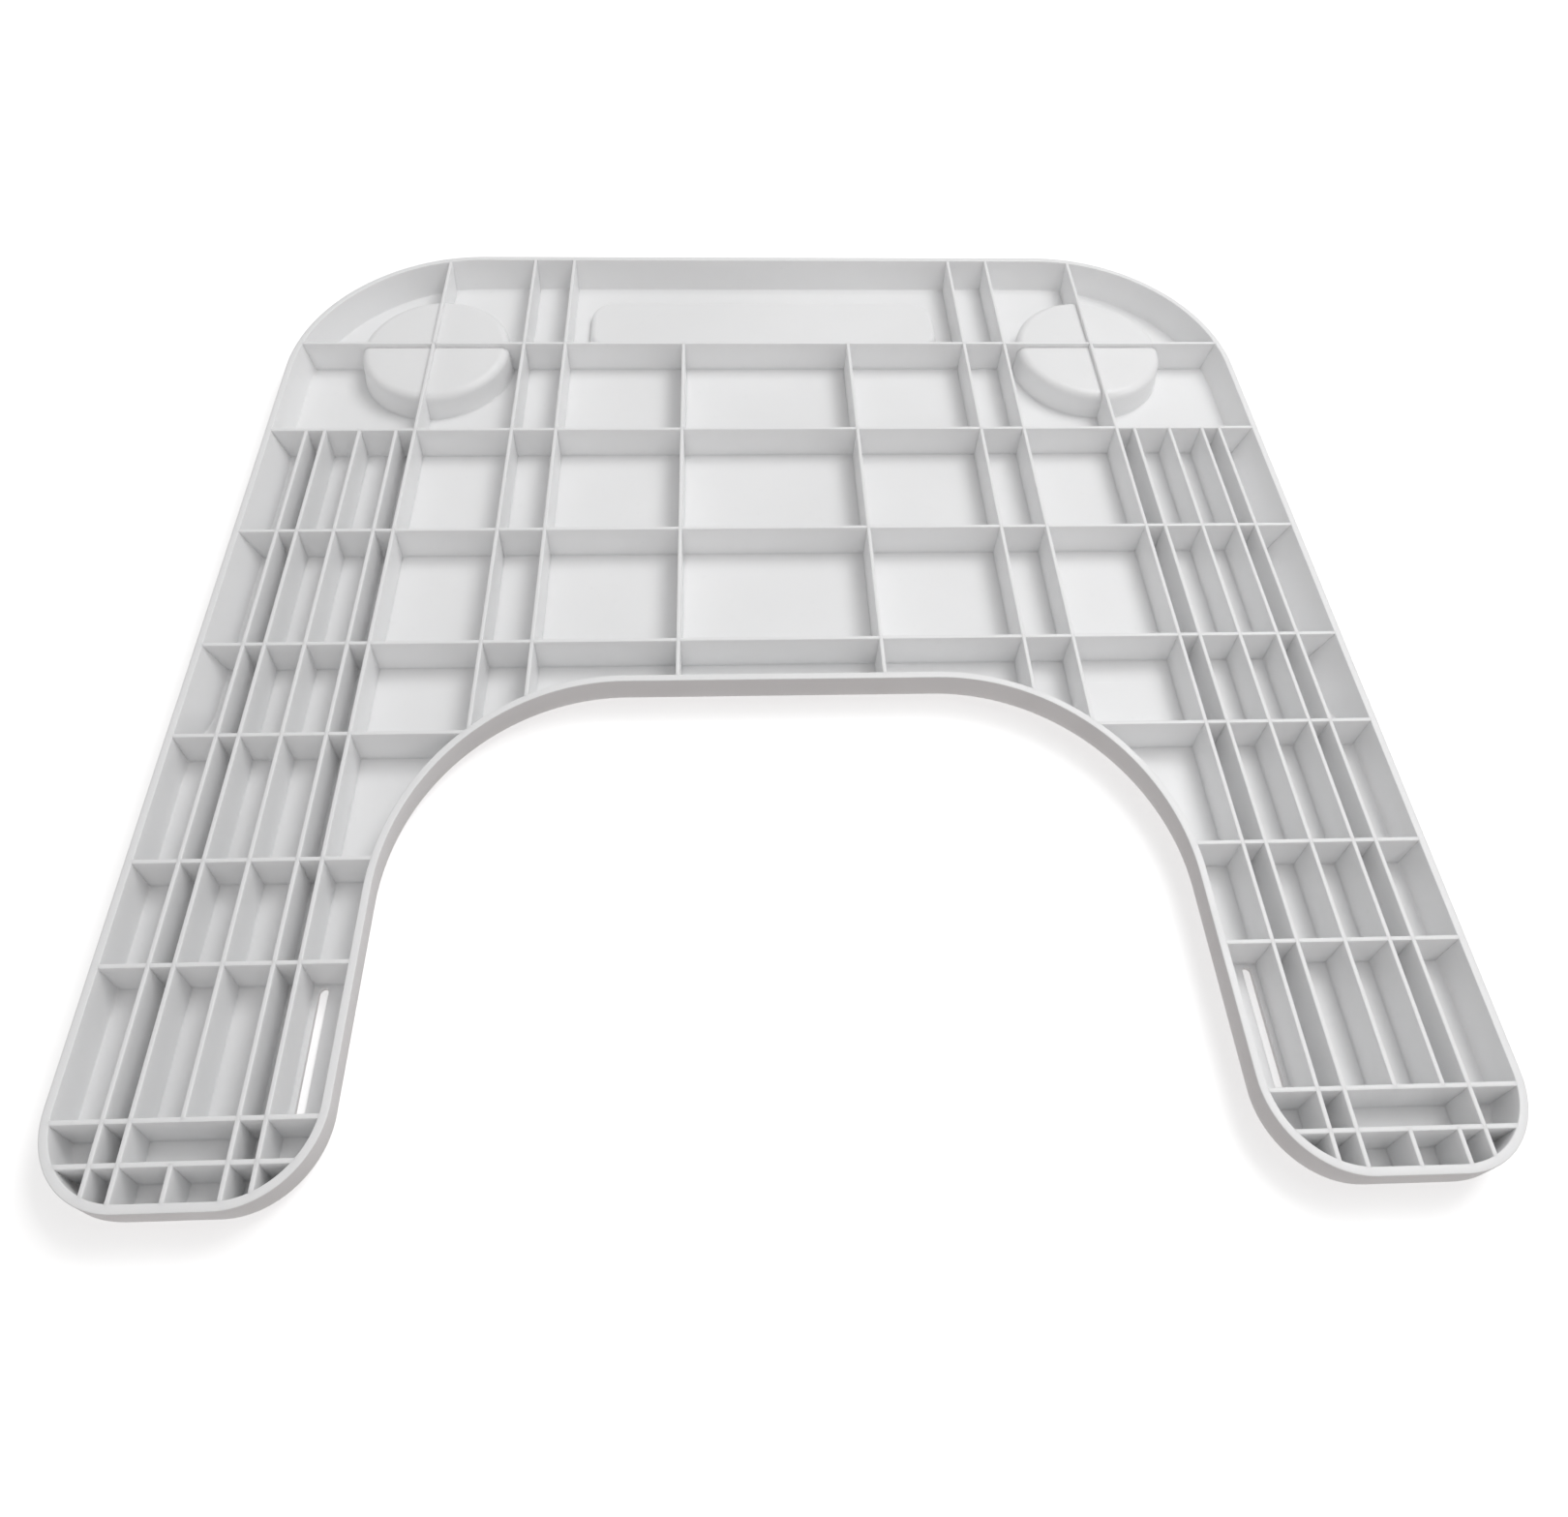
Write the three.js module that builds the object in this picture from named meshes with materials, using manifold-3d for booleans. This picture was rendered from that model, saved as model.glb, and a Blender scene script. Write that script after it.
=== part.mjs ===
// Wheelchair lap tray, lying on its work face with the ribbed underside up.
// One injection-moulded plastic plate: a deck, a perimeter wall, crossing ribs, two cup wells, a pencil
// trough and two strap slots, modelled region by region. Millimetres, +Z up, +Y away from the user,
// origin at the middle of the work face's bounding box.
import * as THREE from "three";
import { mergeVertices } from "three/addons/utils/BufferGeometryUtils.js";
import Module from "manifold-3d";

const wasm = await Module();
wasm.setup();

// Driving dimensions
const WIDTH = 600; // across both arms
const DEPTH = 581; // back edge to arm tips
const HEIGHT = 25; // work face to rib tops
const DECK = 3; // plate thickness
const GAP = 0.3; // clearance between neighbouring pieces
const WALL = 3.6; // perimeter wall, measured flat
const RIB = 2.2; // rib thickness
const CORNER_R = 110; // back corners in plan
const TIP_R = 38; // arm tips, both corners
const CUT_HALF = 188; // half width of the body cut-out
const CUT_R = 108; // corners of the body cut-out
const CUT_FROM_BACK = 345.8; // back edge to the cut-out
const WELL_X = 211; // cup well centre, each side
const WELL_FROM_BACK = 88.6;
const WELL_R = 47.4; // outside of a cup well at the work face
const WELL_DRAFT = 1; // how much narrower its side is at the edge rounding
const WELL_EDGE = 5.4; // rounding between its side and its floor
const WELL_TOP = 21.7; // its floor's far side, just under the rib tops
const SKIN = 2.5; // wall of wells and trough
const TROUGH_HALF = 115.5; // pencil trough, half length
const TROUGH_FROM = 29.5; // back edge to the trough
const TROUGH_TO = 76;
const TROUGH_TOP = 10;
const TROUGH_R = 15;
const SLOT_X = 206; // strap slot centre, each arm
const SLOT_W = 4.2;
const SLOT_FROM = 489;
const SLOT_TO = 543;
const LAP = 14; // height at which crossing ribs pass over each other
const WELL_LAP = 23.5; // the same above a cup well

// Cross ribs as distances from the back edge, and lengthwise ribs as distances from the middle.
const CROSS = [88.6, 166, 244.3, 320.4, 373.9, 438.9, 486.2, 548, 563.9];
const LONG = [275.9, 265.1, 244.8, 223.2, 212.2, 155, 128.7, 53.1];

const back = DEPTH / 2;
const fromBack = (d) => back - d;

// ---- geometry helpers -------------------------------------------------------------------------
function solidOf(geometry) {
  const g = geometry.index ? geometry.toNonIndexed() : geometry.clone();
  g.deleteAttribute("normal");
  g.deleteAttribute("uv");
  const merged = mergeVertices(g, 1e-4);
  const vertProperties = merged.attributes.position.array;
  const triVerts = new Uint32Array(merged.index.array);
  const made = new wasm.Manifold(new wasm.Mesh({ numProp: 3, vertProperties, triVerts }));
  if (made.volume() > 0) return made;
  for (let i = 0; i < triVerts.length; i += 3) {
    const second = triVerts[i + 1];
    triVerts[i + 1] = triVerts[i + 2];
    triVerts[i + 2] = second;
  }
  return new wasm.Manifold(new wasm.Mesh({ numProp: 3, vertProperties, triVerts }));
}

function geometryOf(solid) {
  const mesh = solid.getMesh();
  const n = mesh.numProp;
  const position = new Float32Array(mesh.numVert * 3);
  for (let i = 0; i < mesh.numVert; i++) {
    position.set(mesh.vertProperties.subarray(i * n, i * n + 3), i * 3);
  }
  const g = new THREE.BufferGeometry();
  g.setAttribute("position", new THREE.BufferAttribute(position, 3));
  g.setIndex(new THREE.BufferAttribute(new Uint32Array(mesh.triVerts), 1));
  g.computeVertexNormals();
  return g;
}

// A closed body through the same ring of stations at several heights; ring(z) gives its plan points.
function loft(heights, ring) {
  const rings = heights.map((z) => ring(z).map(([x, y]) => new THREE.Vector2(x, y)));
  const n = rings[0].length;
  const position = [];
  heights.forEach((z, k) => rings[k].forEach((p) => position.push(p.x, p.y, z)));
  const index = [];
  for (let k = 0; k + 1 < heights.length; k++) {
    for (let i = 0; i < n; i++) {
      const a = k * n + i;
      const b = k * n + ((i + 1) % n);
      index.push(a, b, b + n, a, b + n, a + n);
    }
  }
  const top = (heights.length - 1) * n;
  THREE.ShapeUtils.triangulateShape(rings[0], []).forEach(([a, b, c]) => index.push(a, c, b));
  THREE.ShapeUtils.triangulateShape(rings[heights.length - 1], []).forEach(([a, b, c]) => {
    index.push(top + a, top + b, top + c);
  });
  const g = new THREE.BufferGeometry();
  g.setAttribute("position", new THREE.Float32BufferAttribute(position, 3));
  g.setIndex(index);
  return solidOf(g);
}

function block(x0, x1, y0, y1, z0, z1) {
  const g = new THREE.BoxGeometry(x1 - x0, y1 - y0, z1 - z0);
  g.translate((x0 + x1) / 2, (y0 + y1) / 2, (z0 + z1) / 2);
  return solidOf(g);
}

function turned(profile, x, y) {
  const points = profile.map(([r, z]) => new THREE.Vector2(r, z));
  const g = new THREE.LatheGeometry(points, 40);
  g.rotateX(Math.PI / 2);
  g.translate(x, y, 0);
  return solidOf(g);
}

// ---- the perimeter ----------------------------------------------------------------------------
// Stations run anticlockwise seen from above. Each has its outward normal, how far the wall leans in
// between its top and the work face, and the radius that rounds it into the work face.
const stations = [];

function station(x, y, nx, ny, lean, round) {
  stations.push({ x, y, nx, ny, lean, round });
}

// The wall's lean along a side, by distance from the back edge: a hand grip slopes in beside the body.
const SIDE_LEANS = [
  [156, 5],
  [178, 9],
  [350, 9],
  [370, 1.5],
  [DEPTH - 60, 1.5],
];

function halfPerimeter(side) {
  const half = [];
  const put = (x, y, nx, ny, lean, round) => half.push([x, y, nx, ny, lean, round]);
  const cx = WIDTH / 2 - CORNER_R;
  const cy = back - CORNER_R;
  put(cx, back, 0, 1, 5, 3);
  for (let i = 1; i <= 14; i++) {
    const a = Math.PI / 2 - (i * Math.PI) / 28;
    const nx = Math.cos(a);
    const ny = Math.sin(a);
    put(cx + CORNER_R * nx, cy + CORNER_R * ny, nx, ny, 5, 3);
  }
  SIDE_LEANS.forEach(([d, lean]) => put(WIDTH / 2, fromBack(d), 1, 0, lean, 3));
  const ox = WIDTH / 2 - TIP_R;
  const oy = TIP_R - back;
  for (let i = 0; i <= 8; i++) {
    const a = (-i * Math.PI) / 16;
    const nx = Math.cos(a);
    const ny = Math.sin(a);
    put(ox + TIP_R * nx, oy + TIP_R * ny, nx, ny, 1, Math.min(12, 3 + 3 * i));
  }
  const ix = CUT_HALF + TIP_R;
  const iy = TIP_R - back;
  for (let i = 0; i <= 8; i++) {
    const a = -Math.PI / 2 - (i * Math.PI) / 16;
    const nx = Math.cos(a);
    const ny = Math.sin(a);
    put(ix + TIP_R * nx, iy + TIP_R * ny, nx, ny, 1, 12);
  }
  const ux = CUT_HALF - CUT_R;
  const uy = fromBack(CUT_FROM_BACK) - CUT_R;
  for (let i = 0; i <= 14; i++) {
    const a = (i * Math.PI) / 28;
    const nx = -Math.cos(a);
    const ny = -Math.sin(a);
    put(ux - CUT_R * nx, uy - CUT_R * ny, nx, ny, 1, 12);
  }
  if (side > 0) half.reverse();
  half.forEach(([x, y, nx, ny, lean, round]) => station(side * x, y, side * nx, ny, lean, round));
}
halfPerimeter(-1);
halfPerimeter(1);

function outerInset(s, z) {
  const lean = (s.lean * (HEIGHT - z)) / HEIGHT;
  const under = Math.max(0, s.round - z);
  return lean + s.round - Math.sqrt(s.round * s.round - under * under);
}

const inward = (inset) => (z) => stations.map((s) => {
  const d = inset(s, z);
  return [s.x - s.nx * d, s.y - s.ny * d];
});

const LEVELS = [0, 0.4, 1.2, 3, 6, 9, 12, HEIGHT];
const outline = loft(LEVELS, inward(outerInset));
const inside = (extra) => (s, z) => {
  return outerInset(s, Math.min(HEIGHT, Math.max(0, z))) + WALL + extra;
};
const hollow = loft([-1, ...LEVELS, HEIGHT + 1], inward(inside(0)));
const wall = outline.subtract(hollow);
const room = loft([DECK + GAP, 6, 9, 12, HEIGHT], inward(inside(GAP)));

// ---- wells, trough and slots ------------------------------------------------------------------
function arcPoints(cx, cz, r, from, to, steps) {
  const points = [];
  for (let i = 0; i <= steps; i++) {
    const a = from + ((to - from) * i) / steps;
    points.push([cx + r * Math.cos(a), cz + r * Math.sin(a)]);
  }
  return points;
}

const edgeR = WELL_R - WELL_DRAFT - WELL_EDGE;
const edgeZ = WELL_TOP - WELL_EDGE;
const wellOutside = arcPoints(edgeR, edgeZ, WELL_EDGE, 0, Math.PI / 2, 5);
const wellInside = arcPoints(edgeR, edgeZ, WELL_EDGE - SKIN, Math.PI / 2, 0, 4);
const wellProfile = [
  [0, WELL_TOP - SKIN],
  ...wellInside,
  [WELL_R - SKIN, 0],
  [WELL_R, 0],
  ...wellOutside,
  [0, WELL_TOP],
];
const wellKeepOut = [
  [0, -1],
  [WELL_R + GAP, -1],
  [WELL_R + GAP, 0],
  ...arcPoints(edgeR, edgeZ, WELL_EDGE + GAP, 0, Math.PI / 2, 5),
  [0, WELL_TOP + GAP],
];
const wellY = fromBack(WELL_FROM_BACK);

// A rounded rectangle, anticlockwise, grown by a margin.
function roundedRectangle(x0, x1, y0, y1, r, grow) {
  const points = [];
  const centres = [
    [x1 - r, y1 - r, 0],
    [x0 + r, y1 - r, Math.PI / 2],
    [x0 + r, y0 + r, Math.PI],
    [x1 - r, y0 + r, 1.5 * Math.PI],
  ];
  centres.forEach(([cx, cy, start]) => {
    points.push(...arcPoints(cx, cy, r + grow, start, start + Math.PI / 2, 4));
  });
  return points;
}

const troughRing = (grow) => {
  return roundedRectangle(-TROUGH_HALF, TROUGH_HALF, fromBack(TROUGH_TO), fromBack(TROUGH_FROM), TROUGH_R, grow);
};
const troughOuter = loft([0, TROUGH_TOP - 4, TROUGH_TOP - 1.2, TROUGH_TOP], (z) => {
  const over = Math.max(0, z - (TROUGH_TOP - 4));
  return troughRing(Math.sqrt(16 - over * over) - 4);
});
const troughHollow = loft([-1, TROUGH_TOP - 4, TROUGH_TOP - SKIN], (z) => {
  return troughRing(z > TROUGH_TOP - 4 ? -SKIN - 1.5 : -SKIN);
});
const troughKeepOut = loft([-1, DECK + 1], () => troughRing(GAP));

function slotCutter(x) {
  const ring = roundedRectangle(
    x - SLOT_W / 2,
    x + SLOT_W / 2,
    fromBack(SLOT_TO),
    fromBack(SLOT_FROM),
    SLOT_W / 2 - 0.01,
    0,
  );
  return loft([-1, DECK + 1], () => ring);
}

// ---- deck -------------------------------------------------------------------------------------
let deck = loft([0, 0.4, 1.2, DECK], inward(inside(GAP)));
[-1, 1].forEach((side) => {
  deck = deck.subtract(turned(wellKeepOut, side * WELL_X, wellY));
  deck = deck.subtract(slotCutter(side * SLOT_X));
});
deck = deck.subtract(troughKeepOut);
const armY = fromBack(CROSS[4]);

// ---- ribs -------------------------------------------------------------------------------------
const ribBottom = DECK + GAP;
const notch = RIB / 2 + GAP;

// Side view of a rib from a to b with notches at the crossings, cut from its top or from its bottom.
function notchedShape(a, b, crossings, fromTop) {
  const z0 = ribBottom;
  const z1 = HEIGHT;
  const points = [];
  if (fromTop) {
    points.push([a, z0], [b, z0], [b, z1]);
    [...crossings].sort((p, q) => q.at - p.at).forEach(({ at, lap }) => {
      const z = lap - GAP / 2;
      points.push([at + notch, z1], [at + notch, z], [at - notch, z], [at - notch, z1]);
    });
    points.push([a, z1]);
  } else {
    points.push([b, z1], [a, z1], [a, z0]);
    [...crossings].sort((p, q) => p.at - q.at).forEach(({ at, lap }) => {
      const z = lap + GAP / 2;
      points.push([at - notch, z0], [at - notch, z], [at + notch, z], [at + notch, z0]);
    });
    points.push([b, z0]);
  }
  return new THREE.Shape(points.map(([u, v]) => new THREE.Vector2(u, v)));
}

function ribSolid(shape, along, at) {
  const g = new THREE.ExtrudeGeometry(shape, { depth: RIB, bevelEnabled: false });
  const m = new THREE.Matrix4();
  if (along === "x") {
    m.makeBasis(new THREE.Vector3(1, 0, 0), new THREE.Vector3(0, 0, 1), new THREE.Vector3(0, -1, 0));
    m.setPosition(0, at + RIB / 2, 0);
  } else {
    m.makeBasis(new THREE.Vector3(0, 1, 0), new THREE.Vector3(0, 0, 1), new THREE.Vector3(1, 0, 0));
    m.setPosition(at - RIB / 2, 0, 0);
  }
  g.applyMatrix4(m);
  let solid = solidOf(g).intersect(room);
  [-1, 1].forEach((side) => {
    solid = solid.subtract(turned(wellKeepOut, side * WELL_X, wellY));
  });
  return solid;
}

// Which stretch each lengthwise rib covers, as cross rib numbers: 0 is the back wall, 4.5 the body
// cut-out and 10 the front.
const longRuns = [];
LONG.forEach((x, i) => {
  [-1, 1].forEach((side) => {
    const name = `long_rib_${side < 0 ? "left" : "right"}_${i + 1}`;
    const start = i < 4 ? 2 : i === 7 ? 1 : 0;
    const broken = i === 2 || (i === 1 && side > 0);
    const end = i > 5 ? 4.5 : i === 5 ? 5 : broken ? 8 : 10;
    longRuns.push({ name, x: side * x, start, end });
    if (broken) longRuns.push({ name: `${name}_tip`, x: side * x, start: 9, end: 10 });
  });
});

const crossLap = (x, k) => (k === 1 && Math.abs(Math.abs(x) - LONG[4]) < 1 ? WELL_LAP : LAP);

function crossRib(k, x0, x1) {
  const crossings = longRuns
    .filter((r) => r.start < k && k < r.end && r.x > x0 && r.x < x1)
    .map((r) => ({ at: r.x, lap: crossLap(r.x, k) }));
  return ribSolid(notchedShape(x0, x1, crossings, true), "x", fromBack(CROSS[k - 1]));
}

function longRib({ x, start, end }) {
  const edge = RIB / 2 + GAP;
  const y1 = start === 0 ? back : fromBack(CROSS[start - 1]) - edge;
  let y0 = -back;
  if (end === 4.5) y0 = fromBack(CUT_FROM_BACK) - 60;
  else if (end < 10) y0 = fromBack(CROSS[end - 1]) + edge;
  const crossings = [];
  for (let k = start + 1; k < end; k++) {
    crossings.push({ at: fromBack(CROSS[k - 1]), lap: crossLap(x, k) });
  }
  return ribSolid(notchedShape(y0, y1, crossings, false), "y", x);
}

// ---- assembly ---------------------------------------------------------------------------------
const tray = new THREE.Group();
tray.name = "lap_tray";

function add(name, solid) {
  const material = new THREE.MeshStandardMaterial({ color: 0xdfe0e2, roughness: 0.42, metalness: 0 });
  const mesh = new THREE.Mesh(geometryOf(solid), material);
  mesh.name = name;
  tray.add(mesh);
}

const far = WIDTH;
const cornerX = WIDTH / 2 - CORNER_R;
const cornerY = back - CORNER_R;
const tipY = TIP_R - back;
const g2 = GAP / 2;
add("wall_back", wall.intersect(block(-cornerX + g2, cornerX - g2, 0, far, -1, 30)));
[-1, 1].forEach((side) => {
  const name = side < 0 ? "left" : "right";
  const span = (a, b) => (side < 0 ? [-b, -a] : [a, b]);
  const middle = 240;
  const [cx0, cx1] = span(cornerX + g2, far);
  add(`wall_corner_${name}`, wall.intersect(block(cx0, cx1, cornerY + g2, far, -1, 30)));
  const [sx0, sx1] = span(middle, far);
  add(`wall_side_${name}`, wall.intersect(block(sx0, sx1, tipY + g2, cornerY - g2, -1, 30)));
  const [tx0, tx1] = span(CUT_HALF - 20, far);
  add(`wall_tip_${name}`, wall.intersect(block(tx0, tx1, -far, tipY - g2, -1, 30)));
});
add("wall_body_cutout", wall.intersect(block(-240, 240, tipY + g2, cornerY - 60, -1, 30)));

// The plate is split beneath the ribs, so that its panels meet out of sight.
const wellRow = fromBack(CROSS[0]);
const secondRow = fromBack(CROSS[1]);
const splitX = LONG[5];
const panel = (x0, x1, y0, y1) => deck.intersect(block(x0, x1, y0, y1, -1, 30));
add("deck_main", panel(-far, far, armY + g2, secondRow - g2));
add("deck_centre", panel(-splitX + g2, splitX - g2, secondRow + g2, wellRow - g2));
add("deck_trough", panel(-splitX + g2, splitX - g2, wellRow + g2, far));
add("deck_side_left", panel(-far, -splitX - g2, secondRow + g2, wellRow - g2));
add("deck_side_right", panel(splitX + g2, far, secondRow + g2, wellRow - g2));
add("deck_corner_left", panel(-far, -splitX - g2, wellRow + g2, far));
add("deck_corner_right", panel(splitX + g2, far, wellRow + g2, far));
add("deck_arm_left", panel(-far, 0, -far, armY - g2));
add("deck_arm_right", panel(0, far, -far, armY - g2));
add("cup_well_left", turned(wellProfile, -WELL_X, wellY));
add("cup_well_right", turned(wellProfile, WELL_X, wellY));
add("pencil_trough", troughOuter.subtract(troughHollow));

for (let k = 1; k <= 4; k++) {
  add(`cross_rib_${k}`, crossRib(k, -WIDTH / 2, WIDTH / 2));
}
for (let k = 5; k <= 9; k++) {
  add(`cross_rib_${k}_left`, crossRib(k, -WIDTH / 2, -60));
  add(`cross_rib_${k}_right`, crossRib(k, 60, WIDTH / 2));
}
longRuns.forEach((run) => add(run.name, longRib(run)));

export default tray;
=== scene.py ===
import bpy
import bmesh
import math
from mathutils import Matrix, Vector
from mathutils.geometry import tessellate_polygon


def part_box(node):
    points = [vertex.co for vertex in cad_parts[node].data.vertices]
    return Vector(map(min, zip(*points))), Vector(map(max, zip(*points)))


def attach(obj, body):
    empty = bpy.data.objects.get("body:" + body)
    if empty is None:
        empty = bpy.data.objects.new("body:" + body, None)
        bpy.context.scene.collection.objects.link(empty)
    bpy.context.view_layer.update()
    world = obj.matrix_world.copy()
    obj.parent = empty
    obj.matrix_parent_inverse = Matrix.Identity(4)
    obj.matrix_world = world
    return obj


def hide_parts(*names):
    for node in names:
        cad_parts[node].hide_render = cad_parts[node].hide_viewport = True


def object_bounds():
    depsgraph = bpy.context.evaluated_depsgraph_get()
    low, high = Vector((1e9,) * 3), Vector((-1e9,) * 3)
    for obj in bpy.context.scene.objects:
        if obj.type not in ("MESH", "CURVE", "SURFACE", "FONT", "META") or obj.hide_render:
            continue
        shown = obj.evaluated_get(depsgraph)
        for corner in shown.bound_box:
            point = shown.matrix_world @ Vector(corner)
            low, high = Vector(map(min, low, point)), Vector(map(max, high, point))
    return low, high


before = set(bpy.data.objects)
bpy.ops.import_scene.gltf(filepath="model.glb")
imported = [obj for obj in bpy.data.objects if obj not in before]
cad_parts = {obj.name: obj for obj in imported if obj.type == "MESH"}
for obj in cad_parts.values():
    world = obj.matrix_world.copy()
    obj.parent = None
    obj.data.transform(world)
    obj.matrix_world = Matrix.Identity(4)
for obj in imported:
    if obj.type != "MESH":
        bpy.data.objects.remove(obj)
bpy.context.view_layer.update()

# ---- sizes, read from the CAD frame (metres) --------------------------------------------------
SIDE, BACK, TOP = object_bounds()[1]
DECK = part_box("deck_main")[1][2]
LEFT, RIGHT = -1, 1
MM = 0.001


def middle(node, axis):
    lo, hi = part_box(node)
    return (lo[axis] + hi[axis]) / 2


ROW = [middle("cross_rib_%d" % k, 1) for k in (1, 2, 3, 4)]
ROW += [middle("cross_rib_%d_left" % k, 1) for k in (5, 6, 7, 8, 9)]
COLUMN = [middle("long_rib_right_%d" % k, 0) for k in range(1, 9)]
well_lo, well_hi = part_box("cup_well_right")
WELL_X = (well_lo[0] + well_hi[0]) / 2
WELL_Y = (well_lo[1] + well_hi[1]) / 2
WELL_R = (well_hi[0] - well_lo[0]) / 2
WELL_TOP = well_hi[2]
tro_lo, tro_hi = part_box("pencil_trough")
CORNER_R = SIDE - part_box("wall_corner_right")[0][0] + 0.15 * MM
TIP_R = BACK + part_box("wall_tip_right")[1][1] + 0.15 * MM
CUT_HALF = 188 * MM
CUT_R = 108 * MM
CUT_Y = BACK - 345.8 * MM
WALL = 3.6 * MM
SKIN = 2.5 * MM
EDGE = 5.4 * MM
SLOT_X, SLOT_Y, SLOT_HALF, SLOT_R = 206 * MM, -225.5 * MM, 27 * MM, 2.1 * MM
TROUGH_R = 15 * MM
TROUGH_EDGE = 4 * MM
HOLE_LAP = 1.2 * MM      # how far the plate reaches in under a well or the trough
FOOT = 1 * MM            # fillet where a well or the trough rises from the plate
FOOT_ANGLES = (0.12, 0.45, 0.8, 1.15, 1.5708)
RIM_EDGE = 0.45 * MM     # rounding of the rim's two top edges
FLOOR_FILLET = 0.9 * MM  # between the plate and the walls, inside
BACK_LEAN, CUT_LEAN = 5 * MM, 1 * MM
OUTER_ROUND, CUT_ROUND = 3 * MM, 12 * MM   # rounding from the walls into the work face
CORNER_STEPS, TIP_STEPS, SIDE_STEPS, CUT_STEPS = 40, 24, 90, 8

# ---- the perimeter ----------------------------------------------------------------------------
# Each station: point, outward normal, lean of the wall, rounding into the work face.
LEAN_KEYS = [(156, 5), (178, 9), (350, 9), (370, 1.5), (521, 1.5)]


def smooth(t):
    t = max(0.0, min(1.0, t))
    return t * t * (3 - 2 * t)


def side_lean(d):
    if d <= LEAN_KEYS[0][0]:
        return LEAN_KEYS[0][1] * MM
    for (d0, a), (d1, b) in zip(LEAN_KEYS, LEAN_KEYS[1:]):
        if d <= d1:
            return (a + (b - a) * smooth((d - d0) / (d1 - d0))) * MM
    return LEAN_KEYS[-1][1] * MM


def quarter(cx, cy, r, start, turn, steps, lean, edge, sense=1):
    """Stations round a quarter circle; sense is -1 where the material lies outside the circle."""
    out = []
    for i in range(steps + 1):
        a = start + turn * math.pi / 2 * i / steps
        x, y = math.cos(a), math.sin(a)
        out.append((cx + r * x, cy + r * y, sense * x, sense * y, lean, edge))
    return out


def half_perimeter(s):
    """Half the outline, from the middle of the back to the middle of the cut-out or the reverse."""
    cx, cy = SIDE - CORNER_R, BACK - CORNER_R
    half = [(x, BACK, 0.0, 1.0, BACK_LEAN, OUTER_ROUND) for x in (0.0, cx * 0.5)]
    half += quarter(cx, cy, CORNER_R, math.pi / 2, -1, CORNER_STEPS, BACK_LEAN, OUTER_ROUND)
    d0, d1 = CORNER_R / MM, (2 * BACK - TIP_R) / MM
    for i in range(1, SIDE_STEPS):
        d = d0 + (d1 - d0) * i / SIDE_STEPS
        half.append((SIDE, BACK - d * MM, 1.0, 0.0, side_lean(d), OUTER_ROUND))
    oy = TIP_R - BACK
    for i, st in enumerate(quarter(SIDE - TIP_R, oy, TIP_R, 0, -1, TIP_STEPS, 0, 0)):
        t = smooth(i / 16)
        half.append(st[:4] + ((1.5 - 0.5 * t) * MM, OUTER_ROUND + (CUT_ROUND - OUTER_ROUND) * t))
    half += quarter(CUT_HALF + TIP_R, oy, TIP_R, -math.pi / 2, -1, TIP_STEPS, CUT_LEAN, CUT_ROUND)
    ux, uy = CUT_HALF - CUT_R, CUT_Y - CUT_R
    for i in range(1, CUT_STEPS):
        y = oy + (uy - oy) * i / CUT_STEPS
        half.append((CUT_HALF, y, -1.0, 0.0, CUT_LEAN, CUT_ROUND))
    half += quarter(ux, uy, CUT_R, 0, 1, CORNER_STEPS, CUT_LEAN, CUT_ROUND, -1)
    half.append((ux * 0.5, CUT_Y, 0.0, -1.0, CUT_LEAN, CUT_ROUND))
    if s > 0:
        half.append((0.0, CUT_Y, 0.0, -1.0, CUT_LEAN, CUT_ROUND))
        half.reverse()
        half.pop()
    return [(s * x, y, s * nx, ny, lean, edge) for x, y, nx, ny, lean, edge in half]


STATIONS = half_perimeter(LEFT) + half_perimeter(RIGHT)


def outer_inset(st, z):
    """How far inside the rim's outline a station's wall stands at height z."""
    lean = st[4] * (TOP - z) / TOP
    under = max(0.0, st[5] - z)
    return lean + st[5] - math.sqrt(max(0.0, st[5] ** 2 - under ** 2))


def ring(z, extra):
    """The wall's plan at height z, extra inside its outer face."""
    out = []
    for st in STATIONS:
        d = outer_inset(st, min(TOP, max(0.0, z))) + extra
        out.append((st[0] - st[2] * d, st[1] - st[3] * d))
    return out


def crossings(points, axis, at):
    """Where the closed outline crosses the line that holds the other coordinate at 'at'."""
    other = 1 - axis
    found = []
    for p, q in zip(points, points[1:] + points[:1]):
        a, b = p[other] - at, q[other] - at
        if (a <= 0 < b) or (b <= 0 < a):
            t = a / (a - b)
            found.append(p[axis] + (q[axis] - p[axis]) * t)
    return sorted(found)


# ---- mesh helpers -----------------------------------------------------------------------------
def make(name, verts, faces, nodes, sharp):
    """A visual piece on the root body that stands for the named CAD nodes."""
    mesh = bpy.data.meshes.new(name)
    mesh.from_pydata([tuple(v) for v in verts], [], faces)
    bm = bmesh.new()
    bm.from_mesh(mesh)
    bmesh.ops.remove_doubles(bm, verts=bm.verts, dist=1e-6)
    bmesh.ops.recalc_face_normals(bm, faces=bm.faces)
    bm.to_mesh(mesh)
    bm.free()
    mesh.polygons.foreach_set("use_smooth", [True] * len(mesh.polygons))
    mesh.set_sharp_from_angle(angle=math.radians(sharp))
    obj = bpy.data.objects.new(name, mesh)
    bpy.context.scene.collection.objects.link(obj)
    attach(obj, "root")
    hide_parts(*nodes)
    return obj


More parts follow.
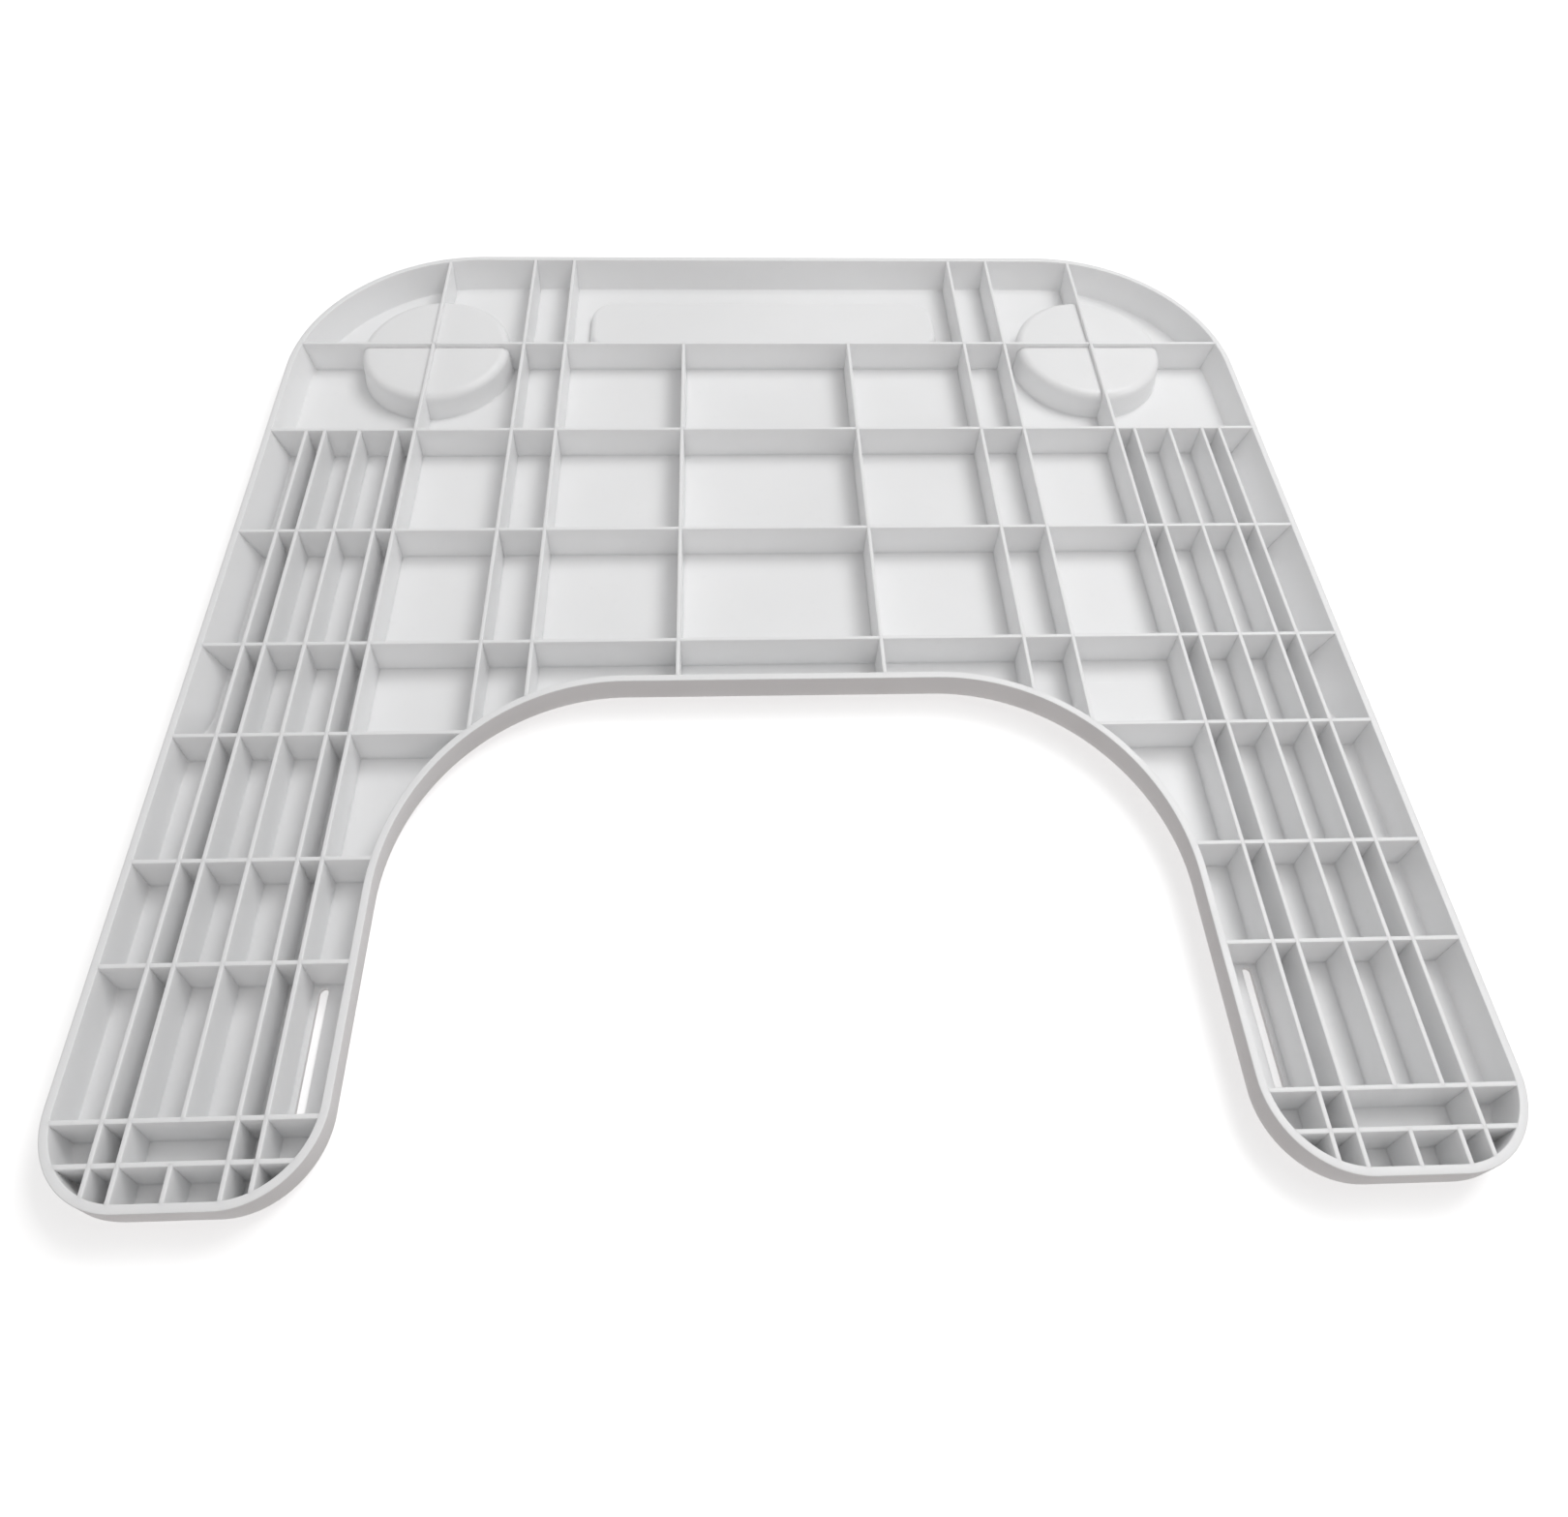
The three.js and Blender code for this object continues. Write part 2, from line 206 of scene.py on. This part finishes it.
def stack(rings):
    """Side faces between rings of equal length, given as lists of (x, y, z)."""
    verts, faces = [], []
    n = len(rings[0])
    for r in rings:
        verts.extend(r)
    for k in range(len(rings) - 1):
        for i in range(n):
            j = (i + 1) % n
            faces.append((k * n + i, k * n + j, (k + 1) * n + j, (k + 1) * n + i))
    return verts, faces


def flat_face(verts, faces, loops, z):
    """A flat face with holes; loops[0] is the outside."""
    start = len(verts)
    flat = [Vector((x, y, z)) for loop in loops for x, y in loop]
    verts.extend(flat)
    parts = [[Vector((x, y, 0)) for x, y in loop] for loop in loops]
    for tri in tessellate_polygon(parts):
        faces.append(tuple(start + i for i in tri))


def arc(cx, cy, r, a0, a1, n):
    return [(cx + r * math.cos(a0 + (a1 - a0) * i / n), cy + r * math.sin(a0 + (a1 - a0) * i / n))
            for i in range(n + 1)]


def rounded(x0, x1, y0, y1, r, n=8):
    """A rectangle with rounded corners."""
    q = math.pi / 2
    centres = ((x1 - r, y1 - r), (x0 + r, y1 - r), (x0 + r, y0 + r), (x1 - r, y0 + r))
    pts = []
    for k, (cx, cy) in enumerate(centres):
        pts += arc(cx, cy, r, k * q, (k + 1) * q, n)
    return pts


def circle(cx, cy, r, n):
    return arc(cx, cy, r, 0, 2 * math.pi * (n - 1) / n, n - 1)


# ---- plate and walls, one continuous skin -----------------------------------------------------
def lift(points, z):
    return [(x, y, z) for x, y in points]


def wall_levels():
    """Rings from the work face up the outside, over the rim, and down the inside to the plate."""
    e = RIM_EDGE
    over = ((e, 0), (e * 0.45, e * 0.12), (e * 0.12, e * 0.45), (0, e))
    levels = [lift(ring(z * MM, 0.0), z * MM)
              for z in (0.0, 0.1, 0.4, 0.9, 1.6, 2.6, 4.0, 6.0, 8.5, 12.0, 17.0)]
    levels += [lift(ring(TOP - e, extra), TOP - down) for down, extra in over]
    levels += [lift(ring(TOP - e, WALL - extra), TOP - down) for down, extra in reversed(over)]
    levels += [lift(ring(z * MM, WALL), z * MM) for z in (17.0, 12.0, 8.5, 6.0)]
    f = FLOOR_FILLET
    for i in range(5):
        a = math.pi / 2 * i / 4
        plan = ring(DECK + f, WALL + f * (1 - math.cos(a)))
        levels.append(lift(plan, DECK + f * (1 - math.sin(a))))
    return levels


def plate_holes():
    """Round holes under the wells, a long one under the trough, and the strap slots."""
    holes = []
    for s in (LEFT, RIGHT):
        sx = s * SLOT_X
        straight = SLOT_HALF - SLOT_R
        holes.append(circle(s * WELL_X, WELL_Y, WELL_R - HOLE_LAP, 96))
        holes.append(arc(sx, SLOT_Y + straight, SLOT_R, 0, math.pi, 10)
                     + arc(sx, SLOT_Y - straight, SLOT_R, math.pi, 2 * math.pi, 10))
    g = HOLE_LAP
    holes.append(rounded(tro_lo[0] + g, tro_hi[0] - g, tro_lo[1] + g, tro_hi[1] - g, TROUGH_R - g))
    return holes


def build_shell():
    levels = wall_levels()
    holes = plate_holes()
    verts, faces = stack(levels)
    flat_face(verts, faces, [[p[:2] for p in levels[0]]] + holes, 0.0)
    flat_face(verts, faces, [[p[:2] for p in levels[-1]]] + holes, DECK)
    for h in holes:
        side_verts, side_faces = stack([lift(h, 0.0), lift(h, DECK)])
        base = len(verts)
        verts.extend(side_verts)
        faces.extend(tuple(base + i for i in q) for q in side_faces)
    walls = sorted(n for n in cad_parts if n.startswith(("wall_", "deck_")))
    return make("plate_and_walls", verts, faces, walls, 40)


# ---- ribs -------------------------------------------------------------------------------------
# Half profile of a rib: (half width, height), with a small foot fillet and a rounded top edge.
LEVELS = [
    (2.10, 2.5), (1.95, 3.02), (1.62, 3.15), (1.44, 3.45), (1.34, 4.0), (1.30, 6.0), (1.26, 9.0),
    (1.21, 12.0), (1.15, 15.0), (1.13, 16.3), (1.11, 17.6), (1.10, 18.7), (1.09, 19.6), (1.08, 20.2),
    (1.08, 20.44), (1.07, 20.52), (1.05, 22.0), (1.02, 24.55), (0.90, 24.86), (0.66, 25.0),
]
MID = [(hw * MM, z * MM, ring(z * MM, WALL * 0.55)) for hw, z in LEVELS]
# Rib tops stand a hair below the rim, and cross ribs below lengthwise ones, so no tops coincide.
LONG_DROP = 0.03 * MM
CROSS_DROP = 0.07 * MM


def well_reach(z):
    """Radius of the middle of a cup well's skin at height z, or 0 above it."""
    r0 = WELL_R - 1 * MM - EDGE
    z0 = WELL_TOP - EDGE
    mid = EDGE - SKIN / 2
    if z <= z0:
        return r0 + mid + 1 * MM * (z0 - z) / z0
    if z < z0 + mid:
        return r0 + math.sqrt(mid ** 2 - (z - z0) ** 2)
    return 0.0


def rib(axis, at, low, high, drop=LONG_DROP):
    """A rib along axis, at being its other coordinate; low and high give an end per level."""
    other = 1 - axis
    sections = []
    for sgn, order in ((-1, MID), (1, MID[::-1])):
        for hw, z, loop in order:
            line = at + sgn * hw
            a, b = low(line, z, loop), high(line, z, loop)
            sections.append((line, z - (drop if z > 24 * MM else 0), a, b))
    verts = []
    n = len(sections)
    for end in (2, 3):
        for section in sections:
            p = [0, 0, section[1]]
            p[axis], p[other] = section[end], section[0]
            verts.append(tuple(p))
    faces = [(i, (i + 1) % n, n + (i + 1) % n, n + i) for i in range(n)]
    half = n // 2
    for base in (0, n):
        for i in range(half - 1):
            faces.append((base + i, base + i + 1, base + n - 2 - i, base + n - 1 - i))
    return verts, faces


def to_wall(axis, pick):
    """Ends in the middle of a wall: pick counts the outline's crossings from the low side."""
    return lambda line, z, loop: crossings(loop, axis, line)[pick]


def to_wall_or_line(axis, value):
    """Ends at the low wall, or at the line where the wall lies beyond it."""
    return lambda line, z, loop: max(crossings(loop, axis, line)[0], value)


def to_line(value):
    return lambda line, z, loop: value


def to_well(axis, centre, across, direction):
    """Ends in a cup well's side below its top and at its centre above."""
    def end(line, z, loop):
        reach = well_reach(z)
        off = line - across
        if reach <= abs(off):
            return centre
        return centre + direction * math.sqrt(reach ** 2 - off ** 2)
    return end


def joined(parts):
    verts, faces = [], []
    for v, f in parts:
        base = len(verts)
        verts.extend(v)
        faces.extend(tuple(base + i for i in q) for q in f)
    return verts, faces


def cross_ribs():
    """(name, parts) of each rib that runs left to right."""
    def across(k, low, high):
        return rib(0, ROW[k - 1], low, high, CROSS_DROP)

    left, right = to_wall(0, 0), to_wall(0, -1)
    wells = [across(1, left, to_well(0, -WELL_X, WELL_Y, -1)),
             across(1, to_well(0, -WELL_X, WELL_Y, 1), to_well(0, WELL_X, WELL_Y, -1)),
             across(1, to_well(0, WELL_X, WELL_Y, 1), right)]
    found = [("cross_rib_1", wells)]
    for k in range(2, 5):
        found.append(("cross_rib_%d" % k, [across(k, left, right)]))
    for k in range(5, 10):
        found.append(("cross_rib_%d_left" % k, [across(k, left, to_wall(0, 1))]))
        found.append(("cross_rib_%d_right" % k, [across(k, to_wall(0, 2), right)]))
    return found


def long_ribs():
    """(name, parts) of each rib that runs back to front."""
    found = []
    front, back = to_wall(1, 0), to_wall(1, -1)
    starts = [ROW[1]] * 4 + [None] * 3 + [ROW[0]]   # ribs that begin at a cross rib
    for i, x0 in enumerate(COLUMN):
        high = back if starts[i] is None else to_line(starts[i])
        for s, side in ((LEFT, "left"), (RIGHT, "right")):
            x = s * x0
            name = "long_rib_%s_%d" % (side, i + 1)
            broken = i == 2 or (i == 1 and s == RIGHT)   # missing before the last cross rib
            low = to_line(ROW[7]) if broken else front
            if i == 4:
                parts = [rib(1, x, to_well(1, WELL_Y, s * WELL_X, 1), high),
                         rib(1, x, low, to_well(1, WELL_Y, s * WELL_X, -1))]
            elif i == 5:
                parts = [rib(1, x, to_wall_or_line(1, ROW[4]), high)]
            else:
                parts = [rib(1, x, low, high)]
            found.append((name, parts))
            if broken:
                found.append((name + "_tip", [rib(1, x, front, to_line(ROW[8]))]))
    return found


def build_ribs():
    return [make("look_" + name, *joined(parts), [name], 35)
            for name, parts in cross_ribs() + long_ribs()]


# ---- cup wells and trough ---------------------------------------------------------------------
def foot():
    """(distance out, height) of the fillet round a well or the trough, from the plate up."""
    return [(FOOT * (1 - math.sin(a)), DECK + FOOT * (1 - math.cos(a)) - 0.02 * MM)
            for a in FOOT_ANGLES]


def build_well(s, node):
    """A round hollow boss, open at the work face."""
    cx, n = s * WELL_X, 96
    r0 = WELL_R - 1 * MM - EDGE
    z0 = WELL_TOP - EDGE
    mouth = WELL_R - SKIN
    inside = [(mouth + 0.6 * MM, 0.0), (mouth + 0.15 * MM, 0.15 * MM), (mouth, 0.6 * MM)]
    inside += arc(r0, z0, EDGE - SKIN, 0, math.pi / 2, 10) + [(r0 * 0.5, WELL_TOP - SKIN)]
    side = WELL_R - 1 * MM * (DECK + FOOT) / z0
    outside = [(side + out, z) for out, z in foot()]
    outside += arc(r0, z0, EDGE, 0, math.pi / 2, 14) + [(r0 * 0.5, WELL_TOP)]
    rings = [lift(circle(cx, WELL_Y, r, n), z) for r, z in inside[::-1] + outside]
    verts, faces = stack(rings)
    for base, z in ((0, WELL_TOP - SKIN), ((len(rings) - 1) * n, WELL_TOP)):
        centre = len(verts)
        verts.append((cx, WELL_Y, z))
        faces += [(base + i, base + (i + 1) % n, centre) for i in range(n)]
    return make("look_" + node, verts, faces, [node], 50)


def build_trough():
    """A low rectangular boss with rounded corners, open at the work face."""
    (x0, y0, _), (x1, y1, top) = tro_lo, tro_hi

    def at(inset, z):
        r = TROUGH_R - inset
        return lift(rounded(x0 + inset, x1 - inset, y0 + inset, y1 - inset, r, 10), z)

    inner_edge = TROUGH_EDGE - SKIN + 1.5 * MM
    rings = []
    for i in range(7):
        t = math.pi / 2 * i / 6
        rings.append(at(SKIN + inner_edge * (1 - math.sin(t)),
                        top - SKIN - inner_edge * (1 - math.cos(t))))
    rings += [at(SKIN, 0.6 * MM), at(SKIN - 0.2 * MM, 0.15 * MM), at(SKIN - 0.6 * MM, 0.0)]
    rings += [at(-out, z) for out, z in foot()]
    for i in range(11):
        t = math.pi / 2 * i / 10
        rings.append(at(TROUGH_EDGE * (1 - math.cos(t)), top - TROUGH_EDGE * (1 - math.sin(t))))
    verts, faces = stack(rings)
    n = len(rings[0])
    for base in (0, (len(rings) - 1) * n):
        faces.append(tuple(base + i for i in range(n)))
    return make("look_pencil_trough", verts, faces, ["pencil_trough"], 50)


# ---- material ---------------------------------------------------------------------------------
def moulded_plastic(name, base, seed):
    mat = bpy.data.materials.new(name)
    mat.use_nodes = True
    nt = mat.node_tree
    nodes, links = nt.nodes, nt.links
    nodes.clear()
    out = nodes.new("ShaderNodeOutputMaterial")
    bsdf = nodes.new("ShaderNodeBsdfPrincipled")
    links.new(bsdf.outputs["BSDF"], out.inputs["Surface"])
    bsdf.inputs["IOR"].default_value = 1.49
    bsdf.inputs["Specular IOR Level"].default_value = 0.42
    bsdf.inputs["Subsurface Weight"].default_value = 0.3
    bsdf.inputs["Subsurface Radius"].default_value = (1.0, 0.97, 0.95)
    bsdf.inputs["Subsurface Scale"].default_value = 0.004
    coord = nodes.new("ShaderNodeTexCoord")

    def noise(scale, detail, rough=0.5):
        mapping = nodes.new("ShaderNodeMapping")
        mapping.inputs["Location"].default_value = (seed * 3.1, seed * 1.7, seed * 0.9)
        links.new(coord.outputs["Object"], mapping.inputs["Vector"])
        tex = nodes.new("ShaderNodeTexNoise")
        tex.inputs["Scale"].default_value = scale
        tex.inputs["Detail"].default_value = detail
        tex.inputs["Roughness"].default_value = rough
        links.new(mapping.outputs["Vector"], tex.inputs["Vector"])
        return tex

    def ramp(source, lo, hi, a, b):
        node = nodes.new("ShaderNodeMapRange")
        node.inputs["From Min"].default_value = lo
        node.inputs["From Max"].default_value = hi
        node.inputs["To Min"].default_value = a
        node.inputs["To Max"].default_value = b
        links.new(source, node.inputs["Value"])
        return node.outputs["Result"]

    def mix(factor, a, b, mode="MIX"):
        node = nodes.new("ShaderNodeMix")
        node.data_type = "RGBA"
        node.blend_type = mode
        if isinstance(factor, float):
            node.inputs["Factor"].default_value = factor
        else:
            links.new(factor, node.inputs["Factor"])
        for socket, value in ((node.inputs[6], a), (node.inputs[7], b)):
            if isinstance(value, tuple):
                socket.default_value = (*value, 1.0)
            else:
                links.new(value, socket)
        return node.outputs[2]

    broad = noise(9.0, 3.0)
    fine = noise(260.0, 4.0, 0.6)
    grain = noise(1900.0, 2.0, 0.6)
    scuff = noise(38.0, 6.0, 0.7)
    darker = tuple(c * 0.965 for c in base)
    colour = mix(ramp(broad.outputs["Fac"], 0.35, 0.65, 0.0, 1.0), base, darker)
    speck = tuple(c * 0.9 for c in base)
    colour = mix(ramp(fine.outputs["Fac"], 0.62, 0.78, 0.0, 0.35), colour, speck)
    links.new(colour, bsdf.inputs["Base Color"])
    rough = ramp(scuff.outputs["Fac"], 0.3, 0.7, 0.33, 0.46)
    links.new(rough, bsdf.inputs["Roughness"])
    bump = nodes.new("ShaderNodeBump")
    bump.inputs["Strength"].default_value = 0.22
    bump.inputs["Distance"].default_value = 0.00006
    links.new(grain.outputs["Fac"], bump.inputs["Height"])
    sink = nodes.new("ShaderNodeBump")
    sink.inputs["Strength"].default_value = 0.35
    sink.inputs["Distance"].default_value = 0.0006
    links.new(scuff.outputs["Fac"], sink.inputs["Height"])
    links.new(bump.outputs["Normal"], sink.inputs["Normal"])
    links.new(sink.outputs["Normal"], bsdf.inputs["Normal"])
    return mat


# ---- floor, backdrop, light and camera --------------------------------------------------------
def staged(name, data):
    """An object that belongs to the studio, not to the part."""
    obj = bpy.data.objects.new(name, data)
    bpy.context.scene.collection.objects.link(obj)
    return obj


def glowing(name, colour, strength):
    """A matt material with some light of its own: the material and its shader node."""
    mat = bpy.data.materials.new(name)
    mat.use_nodes = True
    bsdf = mat.node_tree.nodes["Principled BSDF"]
    bsdf.inputs["Base Color"].default_value = (*colour, 1)
    bsdf.inputs["Roughness"].default_value = 0.95
    bsdf.inputs["Specular IOR Level"].default_value = 0.0
    bsdf.inputs["Emission Color"].default_value = (1, 1, 1, 1)
    bsdf.inputs["Emission Strength"].default_value = strength
    return mat, bsdf


def build_floor():
    """A white floor, seen from above only, that doesn't light the part."""
    reach, low = 8.0, -0.3 * MM
    mesh = bpy.data.meshes.new("floor")
    corners = [(-reach, -reach, low), (reach, -reach, low), (reach, reach, low), (-reach, reach, low)]
    mesh.from_pydata(corners, [], [(0, 1, 2, 3)])
    floor = staged("floor", mesh)
    floor.visible_diffuse = False
    floor.visible_glossy = False
    glowing_paper, bsdf = glowing("glowing_paper", (0.92, 0.92, 0.92), 0.41)
    nodes, links = glowing_paper.node_tree.nodes, glowing_paper.node_tree.links
    # Painted light: the floor's glow is 0.41 within half a metre of the object and grows to 1.1 at
    # 1.5 m, so the floor is painted brighter away from the part and dimmer round it.
    span = nodes.new("ShaderNodeVectorMath")
    span.operation = "LENGTH"
    links.new(nodes.new("ShaderNodeTexCoord").outputs["Object"], span.inputs[0])
    painted_light_fade = nodes.new("ShaderNodeMapRange")
    painted_light_fade.inputs["From Min"].default_value = 0.5
    painted_light_fade.inputs["From Max"].default_value = 1.5
    painted_light_fade.inputs["To Min"].default_value = 0.41
    painted_light_fade.inputs["To Max"].default_value = 1.1
    links.new(span.outputs["Value"], painted_light_fade.inputs["Value"])
    links.new(painted_light_fade.outputs["Result"], bsdf.inputs["Emission Strength"])
    side_of = nodes.new("ShaderNodeNewGeometry")
    clear = nodes.new("ShaderNodeBsdfTransparent")
    one_sided = nodes.new("ShaderNodeMixShader")
    links.new(side_of.outputs["Backfacing"], one_sided.inputs["Fac"])
    links.new(bsdf.outputs["BSDF"], one_sided.inputs[1])
    links.new(clear.outputs["BSDF"], one_sided.inputs[2])
    links.new(one_sided.outputs["Shader"], nodes["Material Output"].inputs["Surface"])
    mesh.materials.append(glowing_paper)


def build_backdrop():
    """A white dome all round, which only the camera sees."""
    mesh = bpy.data.meshes.new("backdrop")
    bm = bmesh.new()
    bmesh.ops.create_icosphere(bm, subdivisions=4, radius=12.0)
    bm.to_mesh(mesh)
    bm.free()
    dome = staged("backdrop", mesh)
    for ray in ("diffuse", "glossy", "transmission", "volume_scatter", "shadow"):
        setattr(dome, "visible_" + ray, False)
    mesh.materials.append(glowing("backdrop", (0, 0, 0), 1.0)[0])


def light_room():
    """Soft light all round: white above, warm grey just below the horizon, bright underneath."""
    world = bpy.data.worlds.new("studio")
    bpy.context.scene.world = world
    world.use_nodes = True
    nodes, links = world.node_tree.nodes, world.node_tree.links
    part = nodes.new("ShaderNodeSeparateXYZ")
    links.new(nodes.new("ShaderNodeTexCoord").outputs["Generated"], part.inputs["Vector"])
    height = nodes.new("ShaderNodeMath")
    height.operation = "MULTIPLY_ADD"
    height.inputs[1].default_value = 0.5
    height.inputs[2].default_value = 0.5
    links.new(part.outputs["Z"], height.inputs[0])
    grade = nodes.new("ShaderNodeValToRGB")
    links.new(height.outputs[0], grade.inputs["Fac"])
    ramp = grade.color_ramp
    ramp.elements[0].position = 0.0
    ramp.elements[0].color = (1.75, 1.73, 1.72, 1)
    ramp.elements[1].position = 0.62
    ramp.elements[1].color = (1, 1, 1, 1)
    ramp.elements.new(0.1).color = (1.6, 1.57, 1.56, 1)
    ramp.elements.new(0.24).color = (0.58, 0.49, 0.475, 1)
    ramp.elements.new(0.45).color = (0.5, 0.415, 0.4, 1)
    links.new(grade.outputs["Color"], nodes["Background"].inputs["Color"])
    nodes["Background"].inputs["Strength"].default_value = 0.47


def area(name, position, target, size, power, colour=(1, 1, 1)):
    data = bpy.data.lights.new(name, "AREA")
    data.shape = "RECTANGLE"
    data.size, data.size_y = size
    data.energy = power
    data.color = colour
    lamp = staged(name, data)
    lamp.location = position
    aim = Vector(target) - Vector(position)
    lamp.rotation_euler = aim.to_track_quat("-Z", "Y").to_euler()
    return lamp


def light_part():
    area("key", (0.9, 0.65, 2.0), (0, 0, 0), (1.0, 1.0), 19.3)
    area("front", (0.2, -1.8, 1.1), (0, 0, 0), (1.6, 1.0), 1.7, (1.0, 0.92, 0.9))
    area("overhead", (0.5, -0.15, 1.3), (0.35, -0.1, 0), (0.5, 0.5), 1.3)
    # A low, broad reflection on the rounded edges of wells and trough, and nothing else.
    sheen = area("sheen", (1.6, -0.45, 1.0), (0, 0.15, 0), (0.35, 0.35), 9)
    sheen.visible_diffuse = False


def place_camera():
    """Looks down from the side of the cut-out, a little turned and tilted."""
    pitch, roll, yaw = (math.radians(v) for v in (47.396, 2.561, 3.853))
    ahead = Vector((math.sin(yaw) * math.cos(pitch), math.cos(yaw) * math.cos(pitch),
                    -math.sin(pitch)))
    level = Vector((math.cos(yaw), -math.sin(yaw), 0))
    upright = level.cross(ahead)
    right = level * math.cos(roll) + upright * math.sin(roll)
    up = upright * math.cos(roll) - level * math.sin(roll)
    camera = bpy.data.cameras.new("camera")
    camera.sensor_width = 36
    camera.sensor_fit = "HORIZONTAL"
    camera.lens = 29.41333
    camera.shift_x = 0.008
    camera.shift_y = -0.18
    camera.clip_start = 0.01
    camera.clip_end = 50
    eye = bpy.data.objects.new("camera", camera)
    bpy.context.scene.collection.objects.link(eye)
    turn = Matrix((right, up, -ahead)).transposed().to_4x4()
    eye.matrix_world = Matrix.Translation((-0.0345, -0.4198, 0.5751)) @ turn
    bpy.context.scene.camera = eye


# ---- the object and its studio ----------------------------------------------------------------
pieces = [build_shell(), build_well(LEFT, "cup_well_left"), build_well(RIGHT, "cup_well_right"),
          build_trough()]
pieces += build_ribs()
plastic = moulded_plastic("moulded_plastic", (0.905, 0.907, 0.911), 1.0)
for piece in pieces:
    piece.data.materials.append(plastic)
build_floor()
build_backdrop()
light_room()
light_part()
place_camera()
bpy.context.scene.view_settings.view_transform = "Standard"
